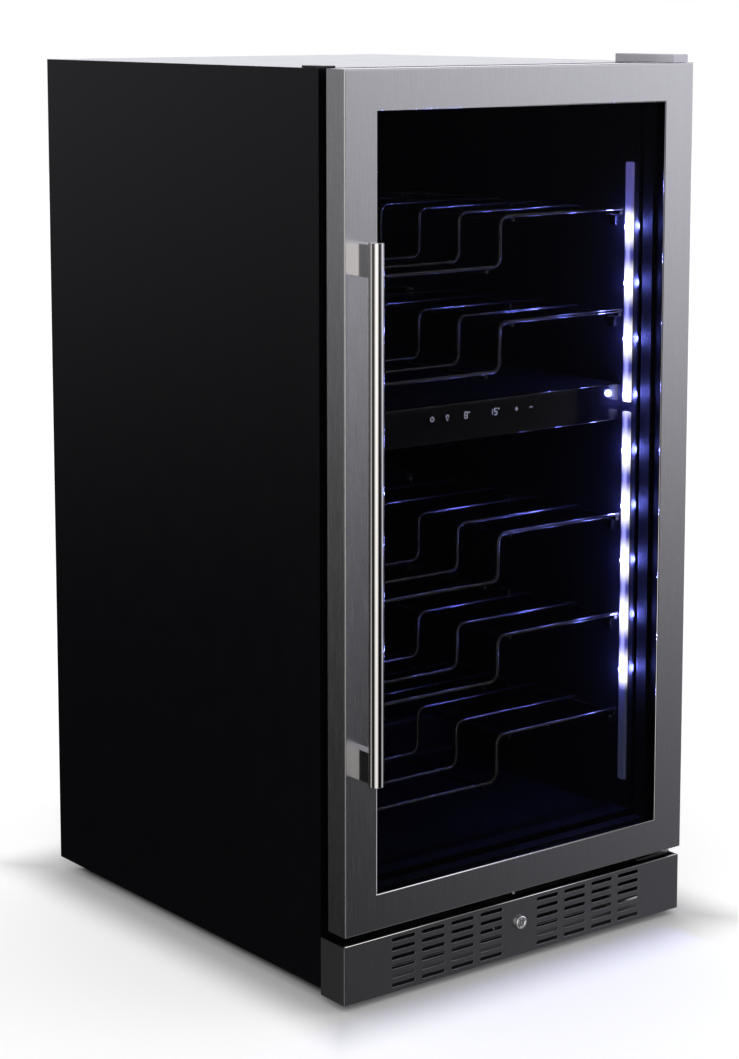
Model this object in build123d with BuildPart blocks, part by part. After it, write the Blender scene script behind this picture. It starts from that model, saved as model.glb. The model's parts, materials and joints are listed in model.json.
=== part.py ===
from build123d import *
import os

# Free-standing or built-under wine cooler with a hinged glass door, two cooled zones and
# stepped wire shelves. Millimetres, +Z up, front towards -Y, origin at the middle of the
# footprint on the floor.

os.makedirs("parts", exist_ok=True)

# ---- driving dimensions -------------------------------------------------------------------
width = 595.0
half = width / 2
door_front = -328.0
cabinet_front = -275.0
cabinet_back = 378.0
cabinet_bottom = 18.0
cabinet_top = 1204.0
sheet = 1.2
inside = half - sheet
rear_panel_face = cabinet_back - 3.0
rear_panel_inner = rear_panel_face - sheet

# cooled space
liner_skin = 2.0
liner_half = 252.0
liner_floor = 150.0
liner_ceiling = 1150.0
liner_back = 333.0
frame_depth = 3.0
liner_front = cabinet_front + frame_depth
hump_front = 108.0
hump_top = 216.0

# machine compartment and front air duct
duct_top = 100.0
deck_front = liner_front
machine_front = 152.0
machine_top = 178.0
floor_sheet_top = cabinet_bottom + sheet

# door
door_bottom = 100.0
door_top = 1203.7
steel_depth = 36.5
steel_back = door_front + steel_depth
opening_half = 247.5
opening_low = 147.0
opening_high = 1153.0
lip_depth = 4.0
door_back = -284.0
gasket_back = cabinet_front - 0.3
hinge_x = 280.0
hinge_y = -304.0
pin_radius = 4.0

# glass unit
glass_half = 262.0
glass_low = 132.5
glass_high = 1167.5
glass_thick = 4.0
glass_front = door_front + lip_depth + 0.2
glass_gap = 12.8

# handle
bar_x = -278.6
bar_y = -368.0
bar_radius = 10.0
bar_low = 308.0
bar_high = 994.0
block_width = 14.0
block_height = 41.0
block_inset = 2.5

# kick plate and lock
kick_front = -325.0
kick_low = 9.0
kick_high = 87.0
lock_z = 55.0
lock_bore_radius = 5.05
plug_radius = 5.0
cam_front = -318.2
cam_thick = 2.0

# shelves: height of the right and left half of each, at the wire's middle
shelf_levels = [(1003.0, 936.0), (861.0, 795.0), (573.0, 508.0), (431.0, 369.0), (292.0, 228.0)]
wire_radius = 2.8
shelf_half = 244.0
step_x = 22.0
bend_radius = 13.0
first_wire_y = -248.0
wire_pitch = 86.0
wire_count = 7

# divider between the zones
divider_low = 708.0
divider_high = 757.0
divider_front = -236.0

# light strip on the right wall
strip_y = -256.0
strip_width = 14.0
strip_depth = 4.0
lamp_high = 978.0
lamp_pitch = 78.5
lamp_count = 9

# feet
foot_x = 255.0
front_foot_y = -235.0
rear_foot_y = 335.0
front_feet = {"foot_left": (-foot_x, front_foot_y), "foot_right": (foot_x, front_foot_y)}
rear_feet = [(-foot_x, rear_foot_y), (foot_x, rear_foot_y)]
stud_radius = 4.0
running_gap = 0.05


# ---- helpers ------------------------------------------------------------------------------
def write(builder, name):
    """Label a finished piece and write it as its own STEP file."""
    builder.part.label = name
    export_step(builder.part, f"parts/{name}.step")


def write_group(solids, name):
    """Write separate solids that belong to one piece, such as the wires of a shelf."""
    group = Compound(children=solids, label=name)
    export_step(group, f"parts/{name}.step")


def block(x, y, z, mode=Mode.ADD):
    """Add or cut a block given by its (low, high) limits along each axis."""
    with Locations((sum(x) / 2, sum(y) / 2, sum(z) / 2)):
        Box(x[1] - x[0], y[1] - y[0], z[1] - z[0], mode=mode)


def window(outer_half, outer_z, hole_half, hole_z, y, corner=0.0):
    """Add an upright rectangular ring between the two depths in y."""
    with BuildSketch(Plane.XZ.offset(-y[0])) as outline:
        with Locations((0, sum(outer_z) / 2)):
            Rectangle(2 * outer_half, outer_z[1] - outer_z[0])
        with Locations((0, sum(hole_z) / 2)):
            if corner:
                RectangleRounded(2 * hole_half, hole_z[1] - hole_z[0], corner, mode=Mode.SUBTRACT)
            else:
                Rectangle(2 * hole_half, hole_z[1] - hole_z[0], mode=Mode.SUBTRACT)
    extrude(to_extrude=outline.sketch, amount=y[0] - y[1])


def round_y(x, z, y, radius, mode=Mode.ADD):
    """Add or cut a cylinder that runs along Y between the two depths."""
    with BuildSketch(Plane.XZ.offset(-y[0])) as outline:
        with Locations((x, z)):
            Circle(radius)
    extrude(to_extrude=outline.sketch, amount=y[0] - y[1], mode=mode)


def round_z(x, y, z, radius, mode=Mode.ADD):
    """Add or cut an upright cylinder between two heights."""
    with BuildSketch(Plane.XY.offset(z[0])) as outline:
        with Locations((x, y)):
            Circle(radius)
    extrude(to_extrude=outline.sketch, amount=z[1] - z[0], mode=mode)


def round_x(y, z, x, radius, mode=Mode.ADD):
    """Add or cut a cylinder that runs along X between two places."""
    with BuildSketch(Plane.YZ.offset(x[0])) as outline:
        with Locations((y, z)):
            Circle(radius)
    extrude(to_extrude=outline.sketch, amount=x[1] - x[0], mode=mode)


def side_profile(points, x_half, radius=0.0, mode=Mode.ADD):
    """Extrude a closed side-view outline both ways, with its corners behind the mouth rounded."""
    with BuildSketch(Plane.YZ) as outline:
        with BuildLine():
            Polyline(*points, close=True)
        make_face()
        if radius:
            # the sketch's own X is the depth
            behind = outline.vertices().filter_by(lambda corner: corner.X > liner_front + 1)
            fillet(behind, radius)
    extrude(to_extrude=outline.sketch, amount=x_half, both=True, mode=mode)


def pipe(points, pipe_radius, bend):
    """Bent round pipe along straight runs joined by arcs."""
    with BuildPart() as bent:
        with BuildLine() as path:
            FilletPolyline(*points, radius=bend)
        with BuildSketch(Plane(origin=path.line @ 0, z_dir=path.line % 0)):
            Circle(pipe_radius)
        sweep()
    return bent.part


def wire(start, end, radius):
    """Straight round wire between two points."""
    with BuildPart() as straight:
        with BuildSketch(Plane(origin=start, z_dir=Vector(*end) - Vector(*start))):
            Circle(radius)
        extrude(amount=(Vector(*end) - Vector(*start)).length)
    return straight.part


# ---- cabinet shell ------------------------------------------------------------------------
for name, side in (("side_panel_left", -1), ("side_panel_right", 1)):
    with BuildPart() as side_panel:
        limits = sorted((side * inside, side * half))
        block(limits, (cabinet_front, cabinet_back), (cabinet_bottom, cabinet_top))
    write(side_panel, name)

with BuildPart() as top_panel:
    block((-inside, inside), (cabinet_front, cabinet_back), (cabinet_top - sheet, cabinet_top))
write(top_panel, "top_panel")

rib_x = 150.0
rib_width = 18.0
rib_depth = 1.0
rib_length = cabinet_top - machine_top - 160.0
with BuildPart() as rear_panel:
    block((-inside, inside), (rear_panel_inner, rear_panel_face), (machine_top, cabinet_top - sheet))
    for x in (-rib_x, rib_x):
        with BuildSketch(Plane.XZ.offset(-rear_panel_face)) as rib:
            with Locations((x, (machine_top + cabinet_top) / 2)):
                SlotOverall(rib_length, rib_width, rotation=90)
        extrude(to_extrude=rib.sketch, amount=-rib_depth)
write(rear_panel, "rear_panel")

front_frame_low = 70.0
front_frame_corner = 6.0
with BuildPart() as front_frame:
    window(inside, (front_frame_low, cabinet_top - sheet), liner_half, (liner_floor, liner_ceiling),
           (cabinet_front, liner_front), front_frame_corner)
write(front_frame, "front_face_frame")

# the front feet screw into bosses, and the floor is slotted under the compressor
boss_top = floor_sheet_top + 14.0
boss_radius = 9.0
floor_slot_length = 46.0
floor_slot_width = 6.0
with BuildPart() as base_pan:
    block((-inside, inside), (cabinet_front, rear_panel_face), (cabinet_bottom, floor_sheet_top))
    for x, y in front_feet.values():
        round_z(x, y, (floor_sheet_top, boss_top), boss_radius)
    for x, y in front_feet.values():
        round_z(x, y, (cabinet_bottom, boss_top), stud_radius + running_gap, Mode.SUBTRACT)
    with BuildSketch(Plane.XY.offset(cabinet_bottom)) as vents:
        with Locations((-150, 225)):
            with GridLocations(22, 60, 7, 2):
                SlotOverall(floor_slot_length, floor_slot_width, rotation=90)
    extrude(to_extrude=vents.sketch, amount=sheet, mode=Mode.SUBTRACT)
write(base_pan, "base_pan")

with BuildPart() as machine_deck:
    side_profile([
        (deck_front, duct_top), (machine_front, duct_top),
        (machine_front, machine_top), (rear_panel_inner, machine_top),
        (rear_panel_inner, machine_top - sheet), (machine_front + sheet, machine_top - sheet),
        (machine_front + sheet, duct_top - sheet), (deck_front, duct_top - sheet),
    ], inside)
write(machine_deck, "machine_deck")

# ---- liner and insulation -----------------------------------------------------------------
liner_outer = [
    (liner_front, liner_floor - liner_skin), (hump_front + liner_skin, liner_floor - liner_skin),
    (hump_front + liner_skin, hump_top - liner_skin), (liner_back + liner_skin, hump_top - liner_skin),
    (liner_back + liner_skin, liner_ceiling + liner_skin), (liner_front, liner_ceiling + liner_skin),
]
liner_inner = [
    (liner_front, liner_floor), (hump_front, liner_floor),
    (hump_front, hump_top), (liner_back, hump_top),
    (liner_back, liner_ceiling), (liner_front, liner_ceiling),
]
liner_corner = 10.0

with BuildPart() as liner:
    side_profile(liner_outer, liner_half + liner_skin, liner_corner)
    side_profile(liner_inner, liner_half, liner_corner, Mode.SUBTRACT)
write(liner, "inner_liner")

with BuildPart() as foam:
    side_profile([
        (liner_front, duct_top), (machine_front, duct_top),
        (machine_front, machine_top), (rear_panel_inner, machine_top),
        (rear_panel_inner, cabinet_top - sheet), (liner_front, cabinet_top - sheet),
    ], inside)
    side_profile(liner_outer, liner_half + liner_skin, liner_corner, Mode.SUBTRACT)
write(foam, "insulation_foam")

# ---- divider and control panel ------------------------------------------------------------
# a hollow shelf open at the rear, with the panel on its front edge
divider_wall = 3.0
divider_half = liner_half - 0.5
divider_back = liner_back - 0.5
with BuildPart() as divider:
    block((-divider_half, divider_half), (divider_front, divider_back), (divider_low, divider_high))
    block((-divider_half + divider_wall, divider_half - divider_wall),
          (divider_front + divider_wall, divider_back),
          (divider_low + divider_wall, divider_high - divider_wall), Mode.SUBTRACT)
write(divider, "zone_divider")

panel_front = divider_front - 6.0
panel_half = liner_half - 1.0
panel_edge_radius = 2.5
lens_half = 128.0
lens_low = 727.0
lens_high = 753.0
lens_depth = (panel_front, panel_front + 1.5)
lens_gap = 0.3
with BuildPart() as control_panel:
    block((-panel_half, panel_half), (panel_front, divider_front), (divider_low - 2, divider_high + 1))
    fillet(control_panel.edges().filter_by(Axis.X).group_by(Axis.Y)[0], panel_edge_radius)
    block((-lens_half, lens_half), lens_depth, (lens_low, lens_high), Mode.SUBTRACT)
write(control_panel, "control_panel")

with BuildPart() as control_lens:
    block((-lens_half + lens_gap, lens_half - lens_gap), lens_depth,
          (lens_low + lens_gap, lens_high - lens_gap))
write(control_lens, "control_lens")

# ---- lighting -----------------------------------------------------------------------------
# one strip for each zone, with a gap between them at the divider
strip_lengths = [(190.0, 719.0), (733.0, 1067.0)]
strip_span = (strip_y - strip_width / 2, strip_y + strip_width / 2)
strip_face = liner_half - strip_depth
lamp_radius = 4.5
lamp_height = 1.2

with BuildPart() as light_strip:
    for length in strip_lengths:
        block((strip_face, liner_half), strip_span, length)
    fillet(light_strip.edges().filter_by(Axis.X), 2)
    chamfer(light_strip.edges().group_by(Axis.X)[0], 0.8)
write(light_strip, "light_strip")

with BuildPart() as lamps:
    for index in range(lamp_count):
        with BuildSketch(Plane.YZ.offset(strip_face)) as lamp:
            with Locations((strip_y, lamp_high - index * lamp_pitch)):
                Circle(lamp_radius)
        extrude(to_extrude=lamp.sketch, amount=-lamp_height, taper=30)
write(lamps, "lamp_lenses")

# ---- shelves and their clips --------------------------------------------------------------
clip_ys = (-222.0, 0.0, 232.0)
clip_width = 12.0
clip_lip = 9.0
clip_height = 16.0
clip_thick = 2.0
clip_gap = 0.3

# the rail under each end of the cross wires is one wire lower than they are
with BuildPart() as clips:
    for high, low in shelf_levels:
        for side, level in ((-1, low), (1, high)):
            top = level - 3 * wire_radius - clip_gap
            for y in clip_ys:
                wall = sorted((side * liner_half, side * (liner_half - clip_thick)))
                lip = sorted((side * liner_half, side * (liner_half - clip_thick - clip_lip)))
                y_span = (y - clip_width / 2, y + clip_width / 2)
                foot = top - clip_height
                if y > hump_front:
                    foot = max(foot, hump_top + clip_gap)
                block(wall, y_span, (foot, top))
                block(lip, y_span, (top - clip_thick, top))
write(clips, "shelf_clips")


def make_shelf(high, low):
    """Stepped wire shelf: a row of bent cross wires on four rails that run front to back."""
    straight_end = bend_radius + 4
    rail_inset = 6
    low_end = step_x - straight_end
    high_start = step_x + straight_end
    with BuildPart() as step:
        with BuildLine() as path:
            FilletPolyline((low_end, first_wire_y, low), (step_x, first_wire_y, low),
                           (step_x, first_wire_y, high), (high_start, first_wire_y, high),
                           radius=bend_radius)
        with BuildSketch(Plane(origin=path.line @ 0, z_dir=path.line % 0)):
            Circle(wire_radius)
        sweep()
    left = wire((-shelf_half, first_wire_y, low), (low_end, first_wire_y, low), wire_radius)
    right = wire((high_start, first_wire_y, high), (shelf_half, first_wire_y, high), wire_radius)
    row = [left, step.part, right]
    solids = []
    for index in range(wire_count):
        shift = Location((0, index * wire_pitch, 0))
        solids.extend(piece.moved(shift) for piece in row)
    last_wire_y = first_wire_y + (wire_count - 1) * wire_pitch
    rail_x = shelf_half - wire_radius
    under = 2 * wire_radius
    for x, z in ((-rail_x, low - under), (low_end - rail_inset, low - under),
                 (high_start + rail_inset, high - under), (rail_x, high - under)):
        solids.append(wire((x, first_wire_y - 1, z), (x, last_wire_y + 4, z), wire_radius))
    return solids


for number, (high, low) in enumerate(shelf_levels, start=1):
    write_group(make_shelf(high, low), f"shelf_{number}")

# ---- cooling unit in each zone ------------------------------------------------------------
cover_front = 290.0
cover_half = 236.0
cover_skin = 2.0
cover_back = liner_back - 1.0
cover_corner = 8.0
grille_slot_length = 70.0
grille_slot_height = 4.5
grille_pitch = 9.0
vent_slot_length = 56.0
vent_slot_height = 5.0
zones = {
    "upper": {"z": (divider_high + 8, liner_ceiling - 8), "fan": 1050.0, "coil": (790.0, 960.0)},
    "lower": {"z": (hump_top + 8, divider_low - 8), "fan": 610.0, "coil": (250.0, 420.0)},
}


def make_cooler_cover(z, fan_z, vent_z):
    """Tray-shaped cover with a fan grille and return-air slots."""
    with BuildPart() as cover:
        block((-cover_half, cover_half), (cover_front, cover_back), z)
        fillet(cover.edges().filter_by(Axis.Y), cover_corner)
        block((-cover_half + cover_skin, cover_half - cover_skin),
              (cover_front + cover_skin, cover_back),
              (z[0] + cover_skin, z[1] - cover_skin), Mode.SUBTRACT)
        with BuildSketch(Plane.XZ.offset(-cover_front)) as grille:
            with Locations((0, fan_z)):
                with GridLocations(0, grille_pitch, 1, 9):
                    SlotOverall(grille_slot_length, grille_slot_height)
            with Locations((0, vent_z)):
                with GridLocations(70, 11, 5, 4):
                    SlotOverall(vent_slot_length, vent_slot_height)
        extrude(to_extrude=grille.sketch, amount=-cover_skin, mode=Mode.SUBTRACT)
    return cover


coil_y = 312.0
coil_half = 176.0
fin_pitch = 14.0
fin_depth = 26.0
fin_thick = 1.0
tube_pitch = 34.0
tube_radius = 4.0


def add_coil(z):
    """Finned tube coil: upright fins crossed by two rows of round tubes."""
    with Locations((0, coil_y, sum(z) / 2)):
        with GridLocations(fin_pitch, 1, 25, 1):
            Box(fin_thick, fin_depth, z[1] - z[0])
    for step in range(5):
        for y in (coil_y - 6, coil_y + 6):
            round_x(y, z[0] + tube_pitch * (step + 0.5), (-coil_half, coil_half), tube_radius)


shaft_radius = 1.5
blade_thick = 1.6


def make_fan(hub_radius, tip_radius, depth, plane, blades=7):
    """Axial fan: hub with pitched blades, bored for the motor's shaft."""
    blade_length = tip_radius - hub_radius + 2
    blade_pitch = 32
    with BuildPart(plane) as fan:
        Cylinder(hub_radius, depth)
        with PolarLocations(hub_radius - 1 + blade_length / 2, blades):
            Box(blade_length, depth * 1.15, blade_thick, rotation=(blade_pitch, 0, 0))
        Hole(shaft_radius + running_gap)
    return fan


fan_y = 306.0
for name, zone in zones.items():
    write(make_cooler_cover(zone["z"], zone["fan"], sum(zone["coil"]) / 2 + 10), f"{name}_cooler_cover")
    fan_plane = Plane.XZ.offset(-fan_y).shift_origin((0, fan_y, zone["fan"]))
    write(make_fan(15, 42, 14, fan_plane), f"{name}_fan")

with BuildPart() as evaporators:
    for zone in zones.values():
        add_coil(zone["coil"])
write(evaporators, "evaporators")

condenser_fan_x = 18.0
condenser_fan_y = 262.0
condenser_fan_z = 94.0
motor_radius = 18.0
motor_front = 316.0
condenser_motor_x = (-14.0, 7.0)
with BuildPart() as motors:
    for zone in zones.values():
        round_y(0, zone["fan"], (motor_front, liner_back - 0.5), motor_radius)
        round_y(0, zone["fan"], (fan_y - 6, motor_front), shaft_radius)
    round_x(condenser_fan_y, condenser_fan_z, condenser_motor_x, motor_radius)
    round_x(condenser_fan_y, condenser_fan_z, (condenser_motor_x[1], condenser_fan_x + 6), shaft_radius)
write(motors, "fan_motors")

condenser_fan_plane = Plane(origin=(condenser_fan_x, condenser_fan_y, condenser_fan_z),
                            x_dir=(0, 1, 0), z_dir=(1, 0, 0))
write(make_fan(18, 58, 16, condenser_fan_plane), "condenser_fan")

# ---- machine compartment ------------------------------------------------------------------
# shroud: plate with a round mouth, two side struts and a post under the motor
shroud_x = (42.0, 44.0)
shroud_y = (172.0, 352.0)
shroud_top = 168.0
shroud_mouth = 60.0
strut_thick = 2.0
strut_top = 60.0
strut_inset = 8.0
sill_x = (condenser_motor_x[0], condenser_motor_x[0] + strut_thick)
sill_top = 34.0
post_half_width = 5.0
strut_ys = (shroud_y[0] + strut_inset, shroud_y[1] - strut_inset)
with BuildPart() as shroud:
    block(shroud_x, shroud_y, (floor_sheet_top, shroud_top))
    round_x(condenser_fan_y, condenser_fan_z, shroud_x, shroud_mouth, Mode.SUBTRACT)
    for y in strut_ys:
        block((sill_x[0], shroud_x[0]), (y - strut_thick / 2, y + strut_thick / 2),
              (floor_sheet_top, strut_top))
    block(sill_x, strut_ys, (floor_sheet_top, sill_top))
    block(sill_x, (condenser_fan_y - post_half_width, condenser_fan_y + post_half_width),
          (sill_top, condenser_fan_z - motor_radius - 0.2))
write(shroud, "condenser_fan_shroud")

condenser_x = 72.0
condenser_y = (174.0, 350.0)
condenser_fin_pitch = 7.5
condenser_fin_height = 136.0
condenser_fin_depth = 44.0
condenser_tube_radius = 4.5
with BuildPart() as condenser:
    with Locations((condenser_x, condenser_fan_y, condenser_fan_z)):
        with GridLocations(1, condenser_fin_pitch, 1, 23):
            Box(condenser_fin_depth, fin_thick, condenser_fin_height)
    for step in range(4):
        tube_z = condenser_fan_z + tube_pitch * (step - 1.5)
        for x in (condenser_x - 12, condenser_x + 12):
            round_y(x, tube_z, condenser_y, condenser_tube_radius)
write(condenser, "condenser")

# welded can with a rolled seam, on a base plate with a grommet at each corner
compressor_x = -165.0
compressor_y = 262.0
compressor_base = 30.0
base_plate_thick = 4.0
base_plate_half = (92.0, 52.0)
grommet_pitch = (156.0, 76.0)
grommet_radius = 11.0
grommet_neck_radius = 6.0
grommet_neck = 8.0
can_radius = 62.0
seam_radius = 66.0
seam_heights = (62.0, 68.0)
can_outline = [
    (0.0, base_plate_thick), (52.0, base_plate_thick), (can_radius, 16.0), (can_radius, seam_heights[0]),
    (seam_radius, seam_heights[0]), (seam_radius, seam_heights[1]), (can_radius, seam_heights[1]),
    (can_radius, 108.0), (44.0, 128.0), (0.0, 134.0),
]
with BuildPart() as compressor:
    with BuildSketch(Plane.XZ.offset(-compressor_y)) as can:
        with BuildLine():
            Polyline(*[(compressor_x + radius, compressor_base + height) for radius, height in can_outline],
                     close=True)
        make_face()
    revolve(can.sketch, axis=Axis((compressor_x, compressor_y, 0), (0, 0, 1)))
    block((compressor_x - base_plate_half[0], compressor_x + base_plate_half[0]),
          (compressor_y - base_plate_half[1], compressor_y + base_plate_half[1]),
          (compressor_base, compressor_base + base_plate_thick))
    with Locations((compressor_x, compressor_y, compressor_base + base_plate_thick / 2)):
        with GridLocations(*grommet_pitch, 2, 2):
            Hole(grommet_neck_radius + 0.2)
write(compressor, "compressor")

grommet_height = compressor_base - floor_sheet_top
with BuildPart() as grommets:
    with Locations((compressor_x, compressor_y, floor_sheet_top)):
        with GridLocations(*grommet_pitch, 2, 2):
            Cylinder(grommet_radius, grommet_height, align=(Align.CENTER, Align.CENTER, Align.MIN))
            Cylinder(grommet_neck_radius, grommet_height + grommet_neck,
                     align=(Align.CENTER, Align.CENTER, Align.MIN))
write(grommets, "compressor_grommets")

tray_x = (120.0, 240.0)
tray_y = (200.0, 330.0)
tray_z = (floor_sheet_top, 52.0)
tray_wall = 2.0
tray_corner = 10.0
with BuildPart() as drip_tray:
    block(tray_x, tray_y, tray_z)
    fillet(drip_tray.edges().filter_by(Axis.Z), tray_corner)
    block((tray_x[0] + tray_wall, tray_x[1] - tray_wall), (tray_y[0] + tray_wall, tray_y[1] - tray_wall),
          (tray_z[0] + tray_wall, tray_z[1]), Mode.SUBTRACT)
write(drip_tray, "drip_tray")

# the filter drier sits in the run of pipe between the condenser and the capillary
drier_x = (-100.0, -8.0)
drier_y = 358.0
drier_z = condenser_fan_z + 1.5 * tube_pitch
drier_radius = 9.0
drier_neck_radius = 2.5
drier_taper = 14.0
with BuildPart() as drier:
    with BuildSketch(Plane.XZ.offset(-drier_y)) as drier_outline:
        with BuildLine():
            Polyline((drier_x[0], drier_z), (drier_x[0], drier_z + drier_neck_radius),
                     (drier_x[0] + drier_taper, drier_z + drier_radius),
                     (drier_x[1] - drier_taper, drier_z + drier_radius),
                     (drier_x[1], drier_z + drier_neck_radius), (drier_x[1], drier_z), close=True)
        make_face()
    revolve(drier_outline.sketch, axis=Axis((0, drier_y, drier_z), (1, 0, 0)))

thin_pipe_radius = 2.4
pipe_radius = 3.0
pipe_top = machine_top - sheet
joint_gap = 0.2
capillary_x = -240.0
suction_x = -262.0
suction_y = 180.0
suction_z = 120.0
discharge_y = 165.0
discharge_z = condenser_fan_z + 0.5 * tube_pitch
can_side = can_radius + joint_gap
pipes = [
    drier.part,
    pipe([(drier_x[1], drier_y, drier_z), (condenser_x - 12, drier_y, drier_z),
          (condenser_x - 12, condenser_y[1] + joint_gap, drier_z)], thin_pipe_radius, 6),
    pipe([(drier_x[0], drier_y, drier_z), (capillary_x, drier_y, drier_z),
          (capillary_x, drier_y, pipe_top)], thin_pipe_radius, 10),
    pipe([(compressor_x - can_side, compressor_y, suction_z), (suction_x, compressor_y, suction_z),
          (suction_x, suction_y, suction_z), (suction_x, suction_y, pipe_top)], pipe_radius, 14),
    pipe([(compressor_x, compressor_y - can_side, discharge_z), (compressor_x, discharge_y, discharge_z),
          (condenser_x + 12, discharge_y, discharge_z),
          (condenser_x + 12, condenser_y[0] - joint_gap, discharge_z)], pipe_radius, 8),
]
write_group(pipes, "refrigerant_pipes")

# ---- rear grille, inlet and screws --------------------------------------------------------
inlet_x = 215.0
inlet_z = 140.0
inlet_width = 30.0
inlet_height = 22.0
louvre_z = 98.0
louvre_length = 44.0
louvre_height = 5.0
louvre_pitch = (52.0, 12.0)
louvre_rows = 9
with BuildPart() as rear_grille:
    block((-inside, inside), (rear_panel_inner, rear_panel_face), (floor_sheet_top, machine_top))
    with BuildSketch(Plane.XZ.offset(-rear_panel_inner)) as louvres:
        for x, columns in ((-150, 5), (70, 3)):
            with Locations((x, louvre_z)):
                with GridLocations(*louvre_pitch, columns, louvre_rows):
                    SlotOverall(louvre_length, louvre_height)
        with Locations((inlet_x, inlet_z)):
            Rectangle(inlet_width, inlet_height)
    extrude(to_extrude=louvres.sketch, amount=-sheet, mode=Mode.SUBTRACT)
write(rear_grille, "rear_grille")

inlet_body = 22.0
inlet_rim = 1.8
socket_half = (12.0, 8.0)
socket_floor = rear_panel_face - 15.0
blade_tip = rear_panel_face - 4.0


def inlet_span(x_half, z_half):
    """Limits in x and z of a block centred on the inlet."""
    return (inlet_x - x_half, inlet_x + x_half), (inlet_z - z_half, inlet_z + z_half)


with BuildPart() as inlet:
    body_x, body_z = inlet_span(inlet_width / 2 - 0.2, inlet_height / 2 - 0.2)
    rim_x, rim_z = inlet_span(inlet_width / 2 + 5, inlet_height / 2 + 3)
    socket_x, socket_z = inlet_span(*socket_half)
    block(body_x, (rear_panel_inner - inlet_body, rear_panel_face), body_z)
    block(rim_x, (rear_panel_face, rear_panel_face + inlet_rim), rim_z)
    block(socket_x, (socket_floor, rear_panel_face + inlet_rim), socket_z, Mode.SUBTRACT)
    for x, z in ((-7, 2), (0, -2), (7, 2)):
        block((inlet_x + x - 1, inlet_x + x + 1), (socket_floor, blade_tip),
              (inlet_z + z - 2.5, inlet_z + z + 2.5))
write(inlet, "mains_inlet")

# ---- hinges -------------------------------------------------------------------------------
plate_thick = 3.0
bracket_x = (226.0, 291.0)
bracket_front = -316.0
bottom_plate_top = 92.0
bracket_foot = 71.0
with BuildPart() as bottom_bracket:
    block(bracket_x, (bracket_front, cabinet_front), (bottom_plate_top - plate_thick, bottom_plate_top))
    fillet(bottom_bracket.edges().filter_by(Axis.Z).group_by(Axis.Y)[0], 6)
    block(bracket_x, (cabinet_front - plate_thick, cabinet_front), (bracket_foot, bottom_plate_top))
write(bottom_bracket, "bottom_hinge_bracket")

pin_reach = 20.0
pin_chamfer = 0.8
with BuildPart() as hinge_pins:
    round_z(hinge_x, hinge_y, (bottom_plate_top, door_bottom + pin_reach), pin_radius)
    round_z(hinge_x, hinge_y, (door_top - pin_reach, cabinet_top), pin_radius)
    tips = (door_bottom + pin_reach, door_top - pin_reach)
    chamfer(hinge_pins.edges().filter_by(lambda edge: edge.center().Z in tips), pin_chamfer)
write(hinge_pins, "hinge_pins")

washer_radius = 7.0
washer_z = (bottom_plate_top, door_bottom - 0.3)
with BuildPart() as washer:
    round_z(hinge_x, hinge_y, washer_z, washer_radius)
    round_z(hinge_x, hinge_y, washer_z, pin_radius + 2 * running_gap, Mode.SUBTRACT)
write(washer, "hinge_washer")

top_bracket_x = (264.5, 285.5)
top_bracket_y = (-318.0, -216.0)
top_bracket_corner = 4.0
top_plate = (cabinet_top, cabinet_top + plate_thick)
with BuildPart() as top_bracket:
    block(top_bracket_x, top_bracket_y, top_plate)
    fillet(top_bracket.edges().filter_by(Axis.Z), top_bracket_corner)
write(top_bracket, "top_hinge_bracket")

# moulded cover over the top bracket
hinge_cover_x = (262.0, 288.0)
hinge_cover_y = (-326.0, -211.0)
hinge_cover_top = cabinet_top + 11.0
hinge_cover_wall = 1.5
with BuildPart() as hinge_cover:
    block(hinge_cover_x, hinge_cover_y, (cabinet_top, hinge_cover_top))
    fillet(hinge_cover.edges().group_by(Axis.Z)[-1], hinge_cover_wall)
    block((hinge_cover_x[0] + hinge_cover_wall, hinge_cover_x[1] - hinge_cover_wall),
          (hinge_cover_y[0] + hinge_cover_wall, hinge_cover_y[1] - hinge_cover_wall),
          (cabinet_top, hinge_cover_top - hinge_cover_wall), Mode.SUBTRACT)
write(hinge_cover, "hinge_cover")

# plate over the screw holes that a left-hand hinge would use
blank_x = (-290.0, -269.0)
blank_y = (cabinet_front + 1.0, -228.0)
blank_thick = 2.5
with BuildPart() as hinge_blank:
    block(blank_x, blank_y, (cabinet_top, cabinet_top + blank_thick))
    fillet(hinge_blank.edges().filter_by(Axis.Z), 3)
write(hinge_blank, "hinge_blank")

screw_radius = 4.0
screw_head = 1.8
bottom_screw_z = 80.0
bottom_screw_face = cabinet_front - plate_thick
top_screw_x = 275.0
with BuildPart() as cabinet_screws:
    for x in (240, 258, 277):
        round_y(x, bottom_screw_z, (bottom_screw_face - screw_head, bottom_screw_face), screw_radius)
    for y in (-262, -245, -228):
        round_z(top_screw_x, y, (top_plate[1], top_plate[1] + screw_head), screw_radius)
    for x in (-286, -96, 96, 286):
        for z in (28, 168, 188, 690, 1192):
            round_y(x, z, (rear_panel_face, rear_panel_face + screw_head), screw_radius)
write(cabinet_screws, "cabinet_screws")

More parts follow.
